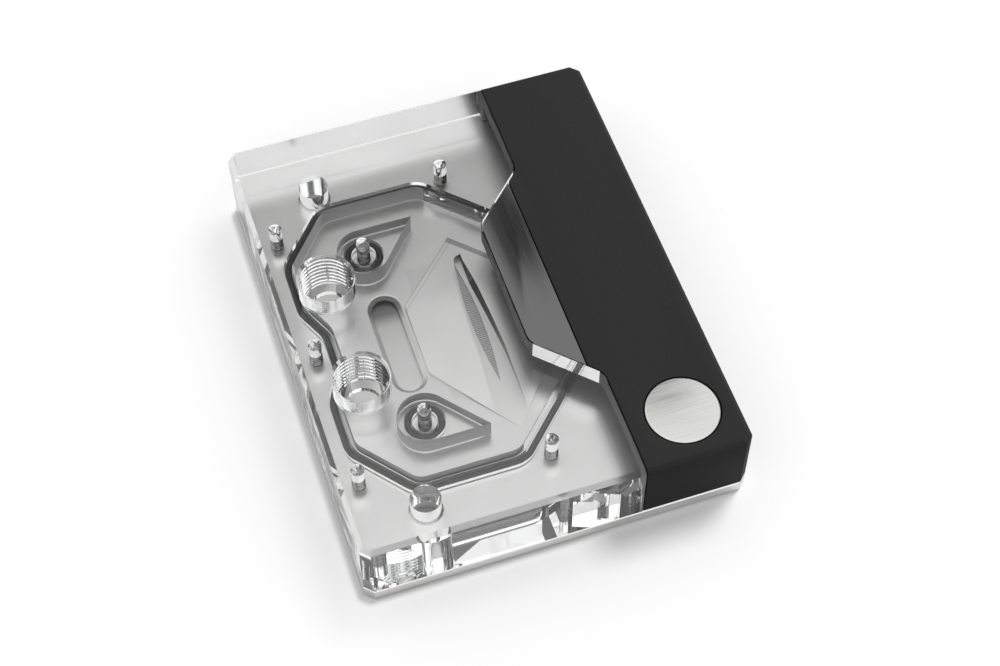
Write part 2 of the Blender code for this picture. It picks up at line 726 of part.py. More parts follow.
def make_screw(name, at, reach, material):
    """Countersunk screw with a hexagon socket, pointing up."""
    foot = PLATE_LOW + FIT_GAP / 3
    profile = screw_profile(0.0, reach)
    profile[1] = (SCREW_RADIUS - FIT_GAP, PLATE_TOP + reach)
    profile.insert(2, (SCREW_RADIUS, PLATE_TOP + reach - FIT_GAP))
    screw = turned(name, profile + [(SCREW_HEAD_RADIUS, foot), (0.0, foot)], at)
    socket = circle(*at, SCREW_SOCKET_RADIUS, SCREW_SOCKET_SIDES)
    cut(screw, prism("cut_socket_" + name, [socket], foot - CUT_MARGIN, foot + SCREW_SOCKET_DEPTH, True))
    paint(screw, material)
    return screw


def make_plate_screws(material):
    """All screws that hold the cold plate to the acrylic."""
    for index, place in enumerate(edge_screw_places() + cover_side_screw_places()):
        make_screw(f"plate_screw_{index + 1}", place, SCREW_REACH, material)
    for name, place in zip(("wet_screw_rear", "wet_screw_front"), wet_screw_places()):
        make_screw(name, place, SCREW_REACH, material)


def make_rings(material):
    """Main sealing ring and the two small rings round the wet screws."""
    height = PLATE_TOP + FIT_GAP + RING_CORD / 2
    paint(ring("main_o_ring", ring_outline(), RING_CORD, height), material)
    height = PLATE_TOP + FIT_GAP + WET_RING_CORD / 2
    for name, place in zip(("screw_o_ring_rear", "screw_o_ring_front"), wet_screw_places()):
        paint(ring(name, circle(*place, WET_RING_RADIUS), WET_RING_CORD, height), material)


def make_jet_plate(material):
    """Thin steel sheet on the fins, with the slim slit that feeds them."""
    low = PLATE_TOP + FIT_GAP
    outlines = [hexagon_outline(-JET_MARGIN), lens_outline(SLIT_HALF_WIDTH, SLIT_HALF_LENGTH)]
    paint(prism("jet_plate", outlines, low, low + JET_THICKNESS), material)


def make_flow_insert(material):
    """Hexagonal insert over the jet plate, with a funnel down to the slit."""
    low = PLATE_TOP + JET_THICKNESS + 2 * FIT_GAP
    high = low + INSERT_THICKNESS
    insert = prism("flow_insert", [hexagon_outline()], low, high)
    narrow = lens_outline(SLIT_HALF_WIDTH + FIT_GAP, SLIT_HALF_LENGTH + FIT_GAP)
    wide = lens_outline(FUNNEL_HALF_WIDTH, FUNNEL_HALF_LENGTH)
    bend, above = low + INSERT_THICKNESS / 4, high + FIT_GAP / 3
    cut(insert, loft("cut_funnel", [(narrow, low - CUT_MARGIN), (narrow, bend), (wide, above)], True))
    paint(insert, material)


def make_side_cover(material):
    """Milled shell over the covered third of the block, open below and towards the acrylic."""
    cover = chamfered_block("side_cover", ACRYLIC_LOW, BODY_TOP, EDGE_CHAMFER)
    region = prism("keep_cover", [cover_region()], ACRYLIC_LOW - CUT_MARGIN, BODY_TOP + CUT_MARGIN, True)
    combine(cover, region, "INTERSECT")
    inner_x, inner_y = HALF_WIDTH - COVER_WALL, HALF_LENGTH - COVER_WALL
    low = ACRYLIC_LOW - CUT_MARGIN
    cut(cover, box("cut_cover_hollow", (-inner_x, -inner_y, low), (inner_x, inner_y, ROOF_LOW), True))
    for index, place in enumerate(cover_screw_places()):
        combine(cover, turned(f"add_boss_{index}", boss_profile(), place, True), "UNION")
    far = NOSE_X + TRIM_WIDTH + FIT_GAP
    trim_low = BODY_TOP - TRIM_THICKNESS - FIT_GAP
    seat_corners = ((-HALF_WIDTH, -HALF_LENGTH, trim_low), (far, HALF_LENGTH, BODY_TOP + CUT_MARGIN))
    cut(cover, box("cut_trim_seat", *seat_corners, True))
    seat_low = BODY_TOP + DISC_PROUD - DISC_THICKNESS - FIT_GAP
    seat_radius, high = DISC_RADIUS + FIT_GAP, BODY_TOP + CUT_MARGIN
    cut(cover, through_cut("cut_disc_seat", (DISC_X, DISC_Y), seat_radius, seat_low, high, DISC_SEGMENTS))
    cut(cover, grommet_hole())
    paint(cover, material)
    return cover


def boss_profile():
    """Half section of a boss under the roof, with the blind hole for its screw, from the top down."""
    low, high = STEP_TOP + FIT_GAP, ROOF_LOW + COVER_ROOF / 3
    hole, hole_top = SCREW_RADIUS + FIT_GAP, STEP_TOP + COVER_SCREW_BITE + 2 * FIT_GAP
    outside = [(0.0, high), (BOSS_RADIUS, high), (BOSS_RADIUS, low)]
    return outside + [(hole, low), (hole, hole_top), (0.0, hole_top)]


def make_cover_screws(material):
    """Long screws through the cold plate and the acrylic step into the cover."""
    reach = STEP_TOP + FIT_GAP + COVER_SCREW_BITE - PLATE_TOP
    for index, place in enumerate(cover_screw_places()):
        make_screw(f"cover_screw_{index + 1}", place, reach, material)


def make_trim_plate(material):
    """Bare plate set into the cover's nose, flush with the top."""
    low, high = BODY_TOP - TRIM_THICKNESS, BODY_TOP
    trim = prism("trim_plate", [cover_region()], low, high)
    margin = HALF_LENGTH + 2 * CUT_MARGIN
    near_corner = (NOSE_X + TRIM_WIDTH, -margin, low - CUT_MARGIN)
    far_corner = (BODY_WIDTH, margin, high + CUT_MARGIN)
    cut(trim, box("cut_trim_end", near_corner, far_corner, True))
    paint(trim, material)


def make_cover_disc(material):
    """Bare round disc set into the cover, with a chamfered rim."""
    top = BODY_TOP + DISC_PROUD
    profile = [
        (0.0, top),
        (DISC_RADIUS - DISC_CHAMFER, top),
        (DISC_RADIUS, top - DISC_CHAMFER),
        (DISC_RADIUS, top - DISC_THICKNESS),
        (0.0, top - DISC_THICKNESS),
    ]
    paint(turned("cover_disc", profile, (DISC_X, DISC_Y), segments=DISC_SEGMENTS), material)


def board_level():
    """Underside of the lighting board, on the acrylic step."""
    return STEP_TOP + FIT_GAP


def make_lighting(board_paint, led_paint, plug_paint, screw_paint):
    """Lighting board with its diodes, connector and two screws."""
    low = board_level()
    top = low + BOARD_THICKNESS
    half_x, half_y = BOARD_WIDTH / 2, BOARD_LENGTH / 2
    board = box("led_board", (BOARD_X - half_x, -half_y, low), (BOARD_X + half_x, half_y, top))
    for index, sign in enumerate((1, -1)):
        place = (BOARD_X, sign * BOARD_SCREW_Y)
        radius = BOARD_SCREW_RADIUS + FIT_GAP
        cut(board, through_cut(f"cut_board_{index}", place, radius, low - CUT_MARGIN, top + CUT_MARGIN))
        make_board_screw(f"board_screw_{index + 1}", place, top, screw_paint)
    paint(board, board_paint)
    left = BOARD_X - half_x
    for index in range(LED_COUNT):
        middle = (index - (LED_COUNT - 1) / 2) * LED_SPACING
        corner = (left, middle - LED_LENGTH / 2, top + FIT_GAP)
        far = (left + LED_WIDTH, middle + LED_LENGTH / 2, top + FIT_GAP + LED_HEIGHT)
        paint(box(f"led_{index + 1}", corner, far), led_paint)
    right = BOARD_X + half_x
    corner = (right - CONNECTOR_LENGTH, half_y - CONNECTOR_WIDTH, top + FIT_GAP)
    far = (right, half_y, top + FIT_GAP + CONNECTOR_HEIGHT)
    paint(box("led_connector", corner, far), plug_paint)


def make_board_screw(name, at, seat, material):
    """Small pan-head screw that holds the lighting board to the acrylic step."""
    head_low = seat + FIT_GAP
    head_top = head_low + BOARD_SCREW_HEAD_HEIGHT
    foot = STEP_TOP - BOARD_SCREW_REACH + FIT_GAP
    profile = [
        (0.0, head_top),
        (BOARD_SCREW_CROWN_RADIUS, head_top),
        (BOARD_SCREW_HEAD_RADIUS, head_top - BOARD_SCREW_CROWN_HEIGHT),
        (BOARD_SCREW_HEAD_RADIUS, head_low),
        (BOARD_SCREW_RADIUS, head_low),
        (BOARD_SCREW_RADIUS, foot),
        (0.0, foot),
    ]
    paint(turned(name, profile, at), material)


def grommet_place():
    """Centre of the cable outlet in the cover's rear wall."""
    return (BOARD_X, (STEP_TOP + ROOF_LOW) / 2)


def grommet_hole():
    """Cutter for the cable outlet in the rear wall."""
    x, z = grommet_place()
    bm = bmesh.new()
    radius = GROMMET_RADIUS + FIT_GAP
    depth = COVER_WALL + 2 * CUT_MARGIN
    bmesh.ops.create_cone(
        bm, cap_ends=True, segments=BUSH_SEGMENTS, radius1=radius, radius2=radius, depth=depth)
    hole = link_mesh("cut_cable_outlet", bm, True)
    hole.rotation_euler.x = math.radians(90)
    hole.location = (x, HALF_LENGTH - COVER_WALL / 2, z)
    return hole


def make_grommet(material):
    """Rubber bush in the cable outlet, with a lip inside the wall."""
    x, z = grommet_place()
    length = COVER_WALL + FIT_GAP
    profile = [
        (GROMMET_BORE, length),
        (GROMMET_RADIUS, length),
        (GROMMET_RADIUS, 0.0),
        (GROMMET_RADIUS + GROMMET_LIP_REACH, 0.0),
        (GROMMET_RADIUS + GROMMET_LIP_REACH, -GROMMET_LIP),
        (GROMMET_BORE, -GROMMET_LIP),
        (GROMMET_BORE, length),
    ]
    bush = turned("cable_grommet", profile, (0.0, 0.0), segments=BUSH_SEGMENTS)
    bush.rotation_euler.x = math.radians(-90)
    bush.location = (x, HALF_LENGTH - length, z)
    paint(bush, material)


def build():
    """Make every piece with its own material."""
    clear = make_material("clear_acrylic", (0.96, 0.97, 0.97), 0.0, 0.03, 1.0)
    nickel = make_material("nickel_plate", (0.72, 0.71, 0.69), 1.0, 0.22)
    steel = make_material("stainless_sheet", (0.66, 0.66, 0.65), 1.0, 0.3)
    black_metal = make_material("black_anodised", (0.022, 0.022, 0.024), 0.3, 0.45)
    dark_trim = make_material("dark_trim", (0.07, 0.07, 0.072), 0.6, 0.35)
    brushed = make_material("brushed_disc", (0.74, 0.73, 0.72), 1.0, 0.3)
    rubber = make_material("black_rubber", (0.015, 0.015, 0.015), 0.0, 0.55)
    zinc = make_material("screw_steel", (0.38, 0.38, 0.38), 1.0, 0.3)
    board = make_material("board_laminate", (0.02, 0.03, 0.025), 0.0, 0.4)
    diode = make_material("led_lens", (0.85, 0.85, 0.8), 0.0, 0.3)
    plug = make_material("connector_shell", (0.6, 0.58, 0.52), 0.0, 0.5)
    make_acrylic_top(clear)
    make_cold_plate(nickel)
    make_jet_plate(steel)
    make_flow_insert(nickel)
    make_rings(rubber)
    make_plate_screws(zinc)
    make_side_cover(black_metal)
    make_cover_screws(zinc)
    make_trim_plate(dark_trim)
    make_cover_disc(brushed)
    make_lighting(board, diode, plug, zinc)
    make_grommet(rubber)


build()
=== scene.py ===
"""Looks of the cpu water block: clear acrylic top, nickel cold plate and dark side cover, on a white floor.

Metres, +Z up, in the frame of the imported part: +X from the ports to the side cover, +Y along the long side.
"""
import math

import bmesh
import bpy
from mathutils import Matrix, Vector


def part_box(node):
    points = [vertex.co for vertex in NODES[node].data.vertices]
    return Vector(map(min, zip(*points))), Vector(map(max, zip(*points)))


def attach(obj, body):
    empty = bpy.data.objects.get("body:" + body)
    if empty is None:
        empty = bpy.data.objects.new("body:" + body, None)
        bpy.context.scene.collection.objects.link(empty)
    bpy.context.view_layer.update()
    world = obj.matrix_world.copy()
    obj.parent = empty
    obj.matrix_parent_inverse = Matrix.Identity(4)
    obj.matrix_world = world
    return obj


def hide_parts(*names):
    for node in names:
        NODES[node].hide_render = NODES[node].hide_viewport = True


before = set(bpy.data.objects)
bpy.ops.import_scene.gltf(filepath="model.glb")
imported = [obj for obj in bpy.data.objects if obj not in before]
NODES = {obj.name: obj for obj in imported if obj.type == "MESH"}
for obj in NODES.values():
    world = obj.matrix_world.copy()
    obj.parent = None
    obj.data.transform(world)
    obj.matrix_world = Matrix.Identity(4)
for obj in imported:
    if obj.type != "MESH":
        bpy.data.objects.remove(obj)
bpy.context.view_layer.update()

MM = 0.001

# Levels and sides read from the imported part
ACRYLIC_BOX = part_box("acrylic_top")
PLATE_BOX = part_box("cold_plate")
ACRYLIC_LOW = ACRYLIC_BOX[0].z
BODY_TOP = ACRYLIC_BOX[1].z
PLATE_TOP = PLATE_BOX[1].z
HALF_WIDTH = PLATE_BOX[1].x
HALF_LENGTH = PLATE_BOX[1].y
STEP_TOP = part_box("led_board")[0].z - 0.3 * MM
STEP_X = ACRYLIC_BOX[1].x
GAP = 0.3 * MM
MARGIN = 2.0 * MM

# Sizes of the acrylic top, as in the part's source
CORNER_CHAMFER = 2.0 * MM
EDGE_CHAMFER = 1.05 * MM
COVER_WALL = 2.5 * MM
COVER_EDGE_X = 19.6 * MM
NOSE_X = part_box("trim_plate")[0].x
NOSE_HALF = 17.2 * MM
NOSE_CORNER = 4.0 * MM
CHAMBER_TOP = ACRYLIC_LOW + 4.7 * MM
CHAMBER_LAND = 0.75 * MM
WALL_BAND = 0.4 * MM
WALL_PLAY = 0.1 * MM
RING_LEFT = 39.0 * MM
RING_RIGHT = 26.5 * MM
RING_HALF_LENGTH = 40.45 * MM
RING_LEFT_CUT_X = 11.6 * MM
RING_LEFT_CUT_Y = 13.9 * MM
RING_RIGHT_CUT = 28.85 * MM
RING_NOTCH_DEPTH = 3.6 * MM
RING_NOTCH_FLAT = 5.2 * MM
RING_NOTCH_REACH = 12.8 * MM
RING_CORNER = 6.0 * MM
RING_CORD = 1.6 * MM
RING_SIDE_PLAY = 0.2 * MM
PORT_X = -32.2 * MM
PORT_Y = 14.2 * MM
PORT_RADIUS = 6.58 * MM
PORT_THREAD_DEPTH = 10.2 * MM
PORT_THREAD_PITCH = 1.337 * MM
PORT_THREAD_HEIGHT = 0.8 * MM
PORT_THREAD_RUNOUT = 0.2 * MM
PORT_MOUTH_CHAMFER = 0.5 * MM
PORT_PASSAGE_RADIUS = 4.2 * MM
MOUNT_X = 27.0 * MM
MOUNT_Y = 45.0 * MM
POCKET_RADIUS = 3.5 * MM
POCKET_DEPTH = 7.6 * MM
SCREW_RADIUS = 1.3 * MM
THREAD_RADIUS = 1.55 * MM
SCREW_THREAD_PITCH = 0.5 * MM
SCREW_THREAD_HEIGHT = 0.2 * MM
SCREW_TIGHT_END = 0.4 * MM
SCREW_HEAD = 1.5 * MM
SCREW_TIP_WIDTH = 0.2 * MM
SCREW_TIP_LENGTH = 0.3 * MM
SCREW_SOCKET_RADIUS = 1.1 * MM
SCREW_SOCKET_DEPTH = 1.0 * MM
SCREW_HOLE_DEPTH = 10.2 * MM
HIDDEN_HOLE_DEPTH = 7.2 * MM
DRILL_TIP = 1.0 * MM
WET_SCREW = (-20.7 * MM, 24.1 * MM)
ISLAND_RADIUS = 6.3 * MM
ISLAND_TIP_X = 13.6 * MM
WET_RING_RADIUS = 3.9 * MM
WET_RING_CORD = 1.5 * MM

# Smoothness of the visual meshes
ARC_STEPS = 20
ROUND_SIDES = 96
PORT_SIDES = 128
THREAD_STEPS = 12
SCREW_SIDES = 32
SCREW_THREAD_STEPS = 8

# The camera, fitted to the photograph
CAMERA_PLACE = (-0.0800, -0.2526, 0.3971)
CAMERA_TILT = 33.91
CAMERA_TURN = -18.65
CAMERA_LENS = 72.43

# The outlet slot in the cold plate and the flow insert in the middle
SLOT_X = -20.0 * MM
SLOT_WIDTH = 8.6 * MM
SLOT_LENGTH = 28.4 * MM
SLOT_DEPTH = 1.9 * MM
INSERT_HALF_WIDTH = 15.5 * MM
INSERT_REAR = 23.7 * MM
INSERT_FRONT = 31.0 * MM
INSERT_FRONT_SIDE = 10.8 * MM
INSERT_SEAT = 0.01 * MM
CUT_ABOVE = 0.5 * MM
FIN_SHEET = 0.03 * MM
FIN_SHEET_HALF_WIDTH = 12.4 * MM
FIN_SHEET_HALF_LENGTH = 18.9 * MM
CHANNEL_FLOOR = 0.25 * MM
CHANNEL_SLOPE = 1.3 * MM
CHANNEL_END = 19.5 * MM
CHANNEL_TAPER = 9.0 * MM
SLIT_CENTRE = (-0.6 * MM, -0.5 * MM)
SLIT_HALF_LENGTH = 17.2 * MM
SLIT_HALF_WIDTH = 1.35 * MM

# The channel's two sides seen from above, in mm: (x, y) from the rear to the front
CHANNEL_RIGHT = (
    (1.4, 18.2), (2.4, 10.5), (3.4, 0.7), (4.2, -9.3), (4.4, -19.3), (4.3, -26.0), (4.1, -32.0),
)
CHANNEL_LEFT = (
    (-0.4, 17.5), (-2.3, 11.4), (-2.8, 3.0), (-3.1, -9.0), (-3.8, -19.3), (-4.2, -26.0), (-4.9, -32.0),
)

# The studio's light
NICKEL_COLOR = (0.70, 0.695, 0.69)
INSERT_COLOR = (0.65, 0.645, 0.64)
FLOOR_COLOR = 0.955
DOME_LEVEL = 0.74
GLOSS_REAR = 1.23
GLOSS_FRONT = 1.3
KEY_PLACE = (0.50, 0.30, 0.95)
KEY_LEVEL = 1.85
KEY_ANGLE = 22.0
GAP_DIRECTION = (0.14, 0.693, 0.707)
GAP_LEVEL = 0.12
GAP_INNER_ANGLE = 8.0
GAP_OUTER_ANGLE = 15.0
SHADOW_CLEAR = 0.91
FLOOR_SIZE = 3.0
BOUNCES = 24


def principled(name, color, metallic=0.0, roughness=0.5, **extra):
    """A Principled material; returns the material, its node tree and the shader."""
    made = bpy.data.materials.new(name)
    made.use_nodes = True
    tree = made.node_tree
    shader = tree.nodes["Principled BSDF"]
    shader.inputs["Base Color"].default_value = (*color, 1.0)
    shader.inputs["Metallic"].default_value = metallic
    shader.inputs["Roughness"].default_value = roughness
    for key, value in extra.items():
        shader.inputs[key.replace("_", " ")].default_value = value
    return made, tree, shader


def noise(tree, scale, detail=3.0, stretch=None, roughness=0.5):
    """A noise texture in the part's own coordinates, stretched along the axes if asked."""
    place = tree.nodes.new("ShaderNodeTexCoord")
    mapping = tree.nodes.new("ShaderNodeMapping")
    if stretch:
        mapping.inputs["Scale"].default_value = stretch
    texture = tree.nodes.new("ShaderNodeTexNoise")
    texture.inputs["Scale"].default_value = scale
    texture.inputs["Detail"].default_value = detail
    texture.inputs["Roughness"].default_value = roughness
    tree.links.new(place.outputs["Object"], mapping.inputs["Vector"])
    tree.links.new(mapping.outputs["Vector"], texture.inputs["Vector"])
    return texture


def vary(tree, texture, socket, low, high, start=0.3, end=0.7):
    """Drive a number on the shader from a texture, between two values."""
    spread = tree.nodes.new("ShaderNodeMapRange")
    spread.inputs["From Min"].default_value = start
    spread.inputs["From Max"].default_value = end
    spread.inputs["To Min"].default_value = low
    spread.inputs["To Max"].default_value = high
    tree.links.new(texture.outputs["Fac"], spread.inputs["Value"])
    tree.links.new(spread.outputs["Result"], socket)


def tint(tree, texture, socket, dark, light, start=0.3, end=0.7):
    """Drive a colour on the shader from a texture, between two colours."""
    ramp = tree.nodes.new("ShaderNodeValToRGB")
    ramp.color_ramp.elements[0].position = start
    ramp.color_ramp.elements[1].position = end
    ramp.color_ramp.elements[0].color = (*dark, 1.0)
    ramp.color_ramp.elements[1].color = (*light, 1.0)
    tree.links.new(texture.outputs["Fac"], ramp.inputs["Fac"])
    tree.links.new(ramp.outputs["Color"], socket)


def graded(tree, value, stops):
    """A grey that follows a number, through stops of (number, grey)."""
    first, last = stops[0][0], stops[-1][0]
    spread = tree.nodes.new("ShaderNodeMapRange")
    spread.inputs["From Min"].default_value = first
    spread.inputs["From Max"].default_value = last
    ramp = tree.nodes.new("ShaderNodeValToRGB")
    elements = ramp.color_ramp.elements
    while len(elements) < len(stops):
        elements.new(1.0)
    for element, (number, grey) in zip(elements, stops):
        element.position = (number - first) / (last - first)
        element.color = (grey, grey, grey, 1.0)
    tree.links.new(value, spread.inputs["Value"])
    tree.links.new(spread.outputs["Result"], ramp.inputs["Fac"])
    return ramp.outputs["Color"]


def along(tree, direction, source="Object"):
    """How far a point, or the surface's normal, lies along a direction of the part."""
    place = tree.nodes.new("ShaderNodeTexCoord")
    dot = tree.nodes.new("ShaderNodeVectorMath")
    dot.operation = "DOT_PRODUCT"
    dot.inputs[1].default_value = direction
    tree.links.new(place.outputs[source], dot.inputs[0])
    return dot.outputs["Value"]


def times(tree, first, second):
    """The product of two numbers."""
    node = tree.nodes.new("ShaderNodeMath")
    node.operation = "MULTIPLY"
    tree.links.new(first, node.inputs[0])
    tree.links.new(second, node.inputs[1])
    return node.outputs[0]


def inside(tree, mask, grey):
    """A grey where the mask is 1, and 1 where the mask is 0."""
    mix = tree.nodes.new("ShaderNodeMix")
    mix.inputs["A"].default_value = 1.0
    tree.links.new(mask, mix.inputs["Factor"])
    tree.links.new(grey, mix.inputs["B"])
    return mix.outputs["Result"]


def darken(tree, socket, grey):
    """Multiply the colour that a socket has by a grey."""
    scaled = tree.nodes.new("ShaderNodeVectorMath")
    scaled.operation = "SCALE"
    if socket.is_linked:
        tree.links.new(socket.links[0].from_socket, scaled.inputs[0])
    else:
        scaled.inputs[0].default_value = socket.default_value[:3]
    tree.links.new(grey, scaled.inputs["Scale"])
    tree.links.new(scaled.outputs[0], socket)


def bump(tree, shader, texture, strength, distance):
    """Raise the surface by a texture."""
    node = tree.nodes.new("ShaderNodeBump")
    node.inputs["Strength"].default_value = strength
    node.inputs["Distance"].default_value = distance
    tree.links.new(texture.outputs["Fac"], node.inputs["Height"])
    tree.links.new(node.outputs["Normal"], shader.inputs["Normal"])


def acrylic_material():
    """Polished clear acrylic, which lets the lamps' light through."""
    color = (0.985, 0.99, 0.99)
    made, tree, shader = principled("clear_acrylic", color, 0.0, 0.0, Transmission_Weight=1.0, IOR=1.49)
    clear = tree.nodes.new("ShaderNodeBsdfTransparent")
    clear.inputs["Color"].default_value = (SHADOW_CLEAR, SHADOW_CLEAR, SHADOW_CLEAR, 1.0)
    path = tree.nodes.new("ShaderNodeLightPath")
    mix = tree.nodes.new("ShaderNodeMixShader")
    tree.links.new(path.outputs["Is Shadow Ray"], mix.inputs["Fac"])
    tree.links.new(shader.outputs[0], mix.inputs[1])
    tree.links.new(clear.outputs[0], mix.inputs[2])
    tree.links.new(mix.outputs[0], tree.nodes["Material Output"].inputs["Surface"])
    return made


def nickel_material(color=NICKEL_COLOR):
    """Satin nickel plating: fine blasted grain with faint clouds of sheen."""
    made, tree, shader = principled("nickel_plate", color, 1.0, 0.42)
    vary(tree, noise(tree, 90.0, 4.0), shader.inputs["Roughness"], 0.30, 0.36)
    grain = noise(tree, 5200.0, 2.0)
    bump(tree, shader, grain, 0.25, 0.00001)
    return made, tree, shader


def plate_material():
    """Nickel of the cold plate, with painted shade in the outlet slot: darker towards its rear end and on its
    upright walls.
    """
    made, tree, shader = nickel_material()
    half = SLOT_WIDTH / 2
    across = graded(tree, along(tree, (1, 0, 0)), [
        (SLOT_X - half - 0.2 * MM, 0), (SLOT_X - half, 1), (SLOT_X + half, 1), (SLOT_X + half + 0.2 * MM, 0),
    ])
    floor = PLATE_TOP - SLOT_DEPTH
    below = graded(tree, along(tree, (0, 0, 1)), [
        (floor - 0.3 * MM, 0), (floor - 0.1 * MM, 1), (PLATE_TOP - 0.25 * MM, 1), (PLATE_TOP - 0.05 * MM, 0),
    ])
    end = SLOT_LENGTH / 2
    length = graded(tree, along(tree, (0, 1, 0)), [
        (-end - 0.4 * MM, 0), (-end - 0.2 * MM, 1), (end + 0.2 * MM, 1), (end + 0.4 * MM, 0),
    ])
    # Painted shade in the outlet slot, deepening towards its rear end
    painted_slot_shade = graded(tree, along(tree, (0, 1, 0)), [
        (-end, 1.0), (0.0, 0.96), (end - 8.0 * MM, 0.85), (end - 4.5 * MM, 0.3), (end, 0.13),
    ])
    # Painted shade on the slot's upright walls
    wall = graded(tree, along(tree, (0, 0, 1), "Normal"), [(0.3, 0.3), (0.75, 1.0)])
    slot_mask = times(tree, times(tree, across, below), length)
    darken(tree, shader.inputs["Base Color"], inside(tree, slot_mask, times(tree, painted_slot_shade, wall)))
    return made


def insert_material():
    """Nickel of the flow insert, with painted shade lines along its rear edges and painted shade on its
    channel's right wall.
    """
    made, tree, shader = nickel_material(INSERT_COLOR)
    slope = math.sqrt(0.5)
    rear = INSERT_REAR * slope
    # Painted shade: dark lines just inside the two rear edges
    left = graded(tree, along(tree, (-slope, slope, 0)), [
        (rear - 1.3 * MM, 1.0), (rear - 1.1 * MM, 0.72), (rear - 0.9 * MM, 1.0),
        (rear - 0.35 * MM, 1.0), (rear - 0.2 * MM, 0.72), (rear, 0.72), (rear + 0.05 * MM, 1.0),
    ])
    right = graded(tree, along(tree, (slope, slope, 0)), [
        (rear - 1.5 * MM, 1.0), (rear - 1.2 * MM, 0.5), (rear, 0.5), (rear + 0.05 * MM, 1.0),
    ])
    # Painted shade on the channel's right wall, which faces -x: darkest at the rear, lighter towards the
    # front
    facing = graded(tree, along(tree, (-1, 0, 0), "Normal"), [(0.3, 0.0), (0.45, 1.0)])
    middle = graded(tree, along(tree, (1, 0, 0)), [(-10.0 * MM, 0.0), (-9.0 * MM, 1.0)])
    depth = graded(tree, along(tree, (0, 1, 0)), [
        (-24.0 * MM, 0.6), (-12.0 * MM, 0.4), (-2.0 * MM, 0.16), (19.0 * MM, 0.1),
    ])
    wall = inside(tree, times(tree, facing, middle), depth)
    darken(tree, shader.inputs["Base Color"], times(tree, times(tree, left, right), wall))
    return made


def screw_material():
    """Turned steel of the screws."""
    made, tree, shader = principled("screw_steel", (0.26, 0.258, 0.255), 1.0, 0.24)
    vary(tree, noise(tree, 1400.0, 3.0), shader.inputs["Roughness"], 0.18, 0.34)
    return made


def rubber_material():
    """Matt black rubber with a faint bloom."""
    made, tree, shader = principled("black_rubber", (0.016, 0.016, 0.016), 0.0, 0.5)
    mottle = noise(tree, 1500.0, 4.0)
    tint(tree, mottle, shader.inputs["Base Color"], (0.012, 0.012, 0.012), (0.022, 0.022, 0.022))
    bump(tree, shader, mottle, 0.15, 0.00002)
    return made


def cover_material():
    """Black anodised aluminium, finely blasted, with painted shade that darkens its upright sides."""
    color = (0.028, 0.028, 0.0285)
    made, tree, shader = principled("black_anodised", color, 0.0, 0.55, Specular_IOR_Level=0.03)
    grain = noise(tree, 3600.0, 3.0)
    tint(tree, grain, shader.inputs["Base Color"], (0.0262, 0.0262, 0.0266), (0.0325, 0.0325, 0.033))
    vary(tree, noise(tree, 120.0, 3.0), shader.inputs["Roughness"], 0.52, 0.58)
    bump(tree, shader, grain, 0.3, 0.00002)
    # Painted shade: the upright sides are darker than the top
    sides = graded(tree, along(tree, (0, 0, 1), "Normal"), [(0.2, 0.68), (0.8, 1.0)])
    darken(tree, shader.inputs["Base Color"], sides)
    return made


def trim_material():
    """Dark satin plate in the cover's nose, with fine lines along its length."""
    made, tree, shader = principled("dark_trim", (0.14, 0.14, 0.142), 1.0, 0.2)
    lines = noise(tree, 1600.0, 3.0, (1.0, 0.04, 1.0))
    vary(tree, lines, shader.inputs["Roughness"], 0.17, 0.23)
    bump(tree, shader, lines, 0.1, 0.000008)
    return made


def disc_material():
    """Brushed aluminium disc, its lines running along the block's width."""
    made, tree, shader = principled("brushed_disc", (0.61, 0.61, 0.605), 1.0, 0.3)
    lines = noise(tree, 2600.0, 3.0, (0.03, 1.0, 1.0))
    tint(tree, lines, shader.inputs["Base Color"], (0.55, 0.55, 0.545), (0.67, 0.67, 0.66))
    vary(tree, lines, shader.inputs["Roughness"], 0.26, 0.38)
    bump(tree, shader, lines, 0.3, 0.000012)
    return made


def plastic_material(name, color, roughness, mottling):
    """Moulded plastic or laminate with a faint mottle."""
    made, tree, shader = principled(name, color, 0.0, roughness)
    mottle = noise(tree, 700.0, 3.0)
    darker = tuple(value * (1 - mottling) for value in color)
    tint(tree, mottle, shader.inputs["Base Color"], darker, color)
    bump(tree, shader, mottle, 0.1, 0.00002)
    return made


def finish_mesh(name, mesh, material, nodes, angle=30):
    """Make an object of a mesh, shade it, give it its material and let it stand for CAD nodes."""
    obj = bpy.data.objects.new(name, mesh)
    bpy.context.scene.collection.objects.link(obj)
    mesh.materials.clear()
    mesh.materials.append(material)
    mesh.shade_smooth()
    mesh.set_sharp_from_angle(angle=math.radians(angle))
    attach(obj, "root")
    if nodes:
        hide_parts(*nodes)
    return obj


def round_corners(points, radius, steps=ARC_STEPS):
    """Replace each corner of a closed outline by an arc; radius is one size or one for each corner."""
    count = len(points)
    radii = radius if isinstance(radius, (list, tuple)) else [radius] * count
    rounded = []
    for index, corner in enumerate(points):
        before, after, size = Vector(points[index - 1]), Vector(points[(index + 1) % count]), radii[index]
        corner = Vector(corner)
        if size <= 0:
            rounded.append(tuple(corner))
            continue
        back, on = (before - corner).normalized(), (after - corner).normalized()
        half = back.angle(on) / 2
        centre = corner + (back + on).normalized() * (size / math.sin(half))
        first = corner + back * (size / math.tan(half)) - centre
        swing = math.pi - 2 * half
        left = back.x * on.y - back.y * on.x < 0
        for step in range(steps + 1):
            angle = swing * step / steps * (1 if left else -1)
            cos, sin = math.cos(angle), math.sin(angle)
            turned_x = first.x * cos - first.y * sin
            turned_y = first.x * sin + first.y * cos
            rounded.append((centre.x + turned_x, centre.y + turned_y))
    return rounded


